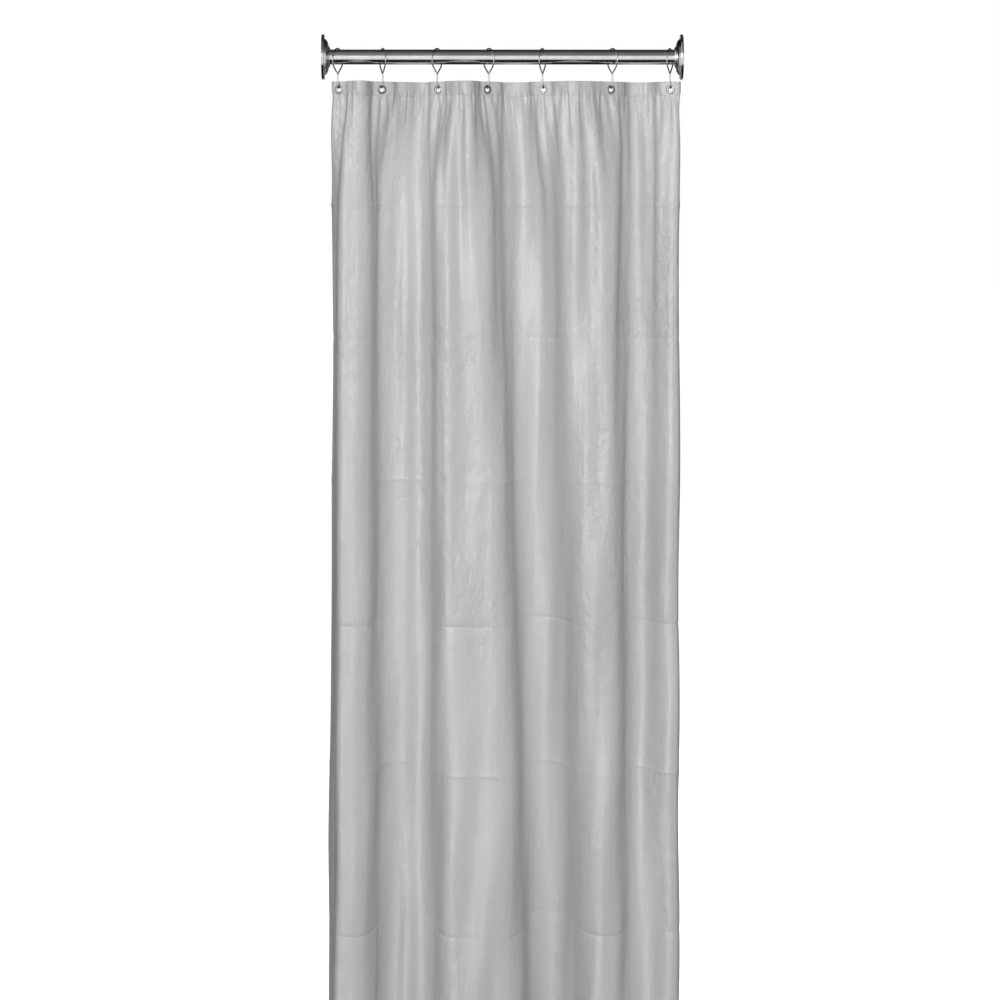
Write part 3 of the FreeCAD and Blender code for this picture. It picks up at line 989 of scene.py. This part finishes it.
def stitches(across, down, points, normal, thickness):
    """One row of thread along each hem, seen on both faces."""
    left, right = SEAM_END, CUT_WIDTH - SEAM_END
    high, low = SIDE_SEAM_END, CUT_LENGTH - SIDE_SEAM_END
    top, bottom = TOP_HEM - SEAM_INSET, CUT_LENGTH - BOTTOM_HEM + SEAM_INSET
    near, far = SIDE_HEM - SEAM_INSET, CUT_WIDTH - SIDE_HEM + SEAM_INSET
    seams = (
        ("top", (left, top), (right, top), HEM_STITCH),
        ("bottom", (left, bottom), (right, bottom), HEM_STITCH),
        ("left", (near, high), (near, low), SIDE_STITCH),
        ("right", (far, high), (far, low), SIDE_STITCH),
    )
    pieces = []
    for name, start, end, pitch in seams:
        first, last = seam_line(start, end, pitch)
        vertices, faces = [], []
        for side in (-1, 1):
            ends = []
            for spot in (first, last):
                place = looked_up(across, down, points, spot[:, 0], spot[:, 1])
                out = looked_up(across, down, normal, spot[:, 0], spot[:, 1])
                deep = looked_up(across, down, thickness[..., None], spot[:, 0], spot[:, 1])
                ends.append((place + side * out * (deep / 2), out * side))
            for begin, finish, out in zip(ends[0][0], ends[1][0], ends[0][1]):
                add_stitch(vertices, faces, begin, finish, out)
        piece = new_object("stitches_" + name, vertices, faces)
        assign(piece, THREAD)
        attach(piece, CLOTH_BODY)
        pieces.append(piece)
    return pieces


def add_stitch(vertices, faces, begin, finish, out):
    """A short thread that dips into the film at both ends."""
    along = finish - begin
    across = np.cross(along, out)
    across /= np.linalg.norm(across)
    base = len(vertices)
    for share, lift, reach in STITCH_RINGS:
        middle_point = begin + along * share + out * (lift * STITCH_RADIUS)
        for turn in np.radians((0, 60, 120, 180, 240, 300)):
            offset = math.cos(turn) * across + math.sin(turn) * out
            vertices.append(middle_point + offset * (STITCH_RADIUS * reach))
    for ring in range(3):
        for side in range(6):
            after = (side + 1) % 6
            faces.append((base + ring * 6 + side, base + ring * 6 + after,
                          base + ring * 6 + 6 + after, base + ring * 6 + 6 + side))
    faces.append(tuple(base + side for side in reversed(range(6))))
    faces.append(tuple(base + 18 + side for side in range(6)))


# ---------------------------------------------------------------- room, light and camera

def backdrop():
    """A wide pale floor under the hem, as a stage only."""
    height = cad_low[2] - FLOOR_GAP
    reach = FLOOR_REACH
    corners = [(-reach, -reach), (reach, -reach), (reach, reach), (-reach, reach)]
    floor = new_object("floor", [(x, y, height) for x, y in corners], [(0, 1, 2, 3)], smooth=False)
    assign(floor, pale_floor())
    floor.visible_glossy = False
    floor.visible_diffuse = False


def reflection_grey(nodes, links, height):
    """Bands from floor to ceiling: dark floor, bright walls, grey ceiling."""
    share = nodes.new("ShaderNodeMapRange")
    share.inputs["From Min"].default_value = -1
    share.inputs["From Max"].default_value = 1
    links.new(height, share.inputs["Value"])
    ramp = nodes.new("ShaderNodeValToRGB")
    links.new(share.outputs["Result"], ramp.inputs["Fac"])
    elements = ramp.color_ramp.elements
    while len(elements) < len(REFLECTION_BANDS):
        elements.new(0.5)
    for element, (position, grey) in zip(elements, REFLECTION_BANDS):
        element.position = position
        element.color = (grey, grey, grey, 1)
    return ramp.outputs["Color"]


def reflection_strength(nodes, links, parts):
    """A bright panel in front on the left, a dimmer half behind and dark flags at both sides of it."""
    x, y, z = (parts.outputs[axis] for axis in "XYZ")
    behind = between(nodes, links, y, -0.30, 0.0, 1.0, 0.30)
    front = between(nodes, links, y, 0.0, -0.30)
    back = between(nodes, links, y, -0.10, 0.20)
    panel = product(nodes, links, front, between(nodes, links, x, -0.80, -0.50),
                    between(nodes, links, x, -0.12, -0.30), between(nodes, links, z, -0.17, 0.02, 0.15, 1.0))
    left_flag = product(nodes, links, back, between(nodes, links, x, -0.12, -0.25))
    right_flag = product(nodes, links, back, between(nodes, links, x, 0.12, 0.25))
    return product(nodes, links, behind, lifted(nodes, links, panel, PANEL_GAIN),
                   lifted(nodes, links, left_flag, LEFT_FLAG),
                   lifted(nodes, links, right_flag, RIGHT_FLAG))


def plain_background(nodes, strength):
    background = nodes.new("ShaderNodeBackground")
    background.inputs["Color"].default_value = (1, 1, 1, 1)
    background.inputs["Strength"].default_value = strength
    return background.outputs["Background"]


def mixed(nodes, links, fac, first, second):
    mixer = nodes.new("ShaderNodeMixShader")
    links.new(fac, mixer.inputs["Fac"])
    links.new(first, mixer.inputs[1])
    links.new(second, mixer.inputs[2])
    return mixer.outputs["Shader"]


def surroundings():
    """White where the camera looks, softer for diffuse light, and a studio in reflections."""
    world = bpy.data.worlds.new("studio")
    bpy.context.scene.world = world
    world.use_nodes = True
    nodes, links = world.node_tree.nodes, world.node_tree.links
    nodes.clear()
    place = nodes.new("ShaderNodeTexCoord")
    parts = nodes.new("ShaderNodeSeparateXYZ")
    links.new(place.outputs["Generated"], parts.inputs["Vector"])
    shaded = nodes.new("ShaderNodeVectorMath")
    shaded.operation = "SCALE"
    links.new(reflection_grey(nodes, links, parts.outputs["Z"]), shaded.inputs[0])
    links.new(reflection_strength(nodes, links, parts), shaded.inputs["Scale"])
    glossy = nodes.new("ShaderNodeBackground")
    links.new(shaded.outputs["Vector"], glossy.inputs["Color"])
    path = nodes.new("ShaderNodeLightPath")
    soft = plain_background(nodes, AMBIENT)
    bounced = mixed(nodes, links, path.outputs["Is Glossy Ray"], soft, glossy.outputs["Background"])
    seen = mixed(nodes, links, path.outputs["Is Camera Ray"], bounced, plain_background(nodes, 1.0))
    output = nodes.new("ShaderNodeOutputWorld")
    links.new(seen, output.inputs["Surface"])


def lamp(name, place, aim, size, power):
    data = bpy.data.lights.new(name, "AREA")
    data.shape = "RECTANGLE"
    data.size, data.size_y = size
    data.energy = power
    light = bpy.data.objects.new(name, data)
    light.location = place
    light.rotation_euler = (Vector(aim) - Vector(place)).to_track_quat("-Z", "Y").to_euler()
    light.visible_glossy = False
    bpy.context.scene.collection.objects.link(light)


def camera():
    """Six metres back and a little left, looking slightly down, with a long lens."""
    data = bpy.data.cameras.new("camera")
    data.lens = LENS
    data.sensor_width = SENSOR
    data.clip_end = 200
    viewer = bpy.data.objects.new("camera", data)
    viewer.location = CAMERA_PLACE
    viewer.rotation_euler = (math.radians(90 - LOOK_DOWN), 0, math.radians(-LOOK_RIGHT))
    bpy.context.scene.collection.objects.link(viewer)
    bpy.context.scene.camera = viewer


camera()
backdrop()
surroundings()
lamp("key", place=(-0.12, -4.2, 0.75), aim=(0.30, 0, -0.66), size=(1.2, 1.3), power=128)
lamp("back", place=(1.3, 4.0, 0.6), aim=(0.30, 0, -0.9), size=(2.2, 2.2), power=90)
bpy.context.scene.view_settings.view_transform = "Standard"

rod()
covers()
hooks()
grommets()
curtain()
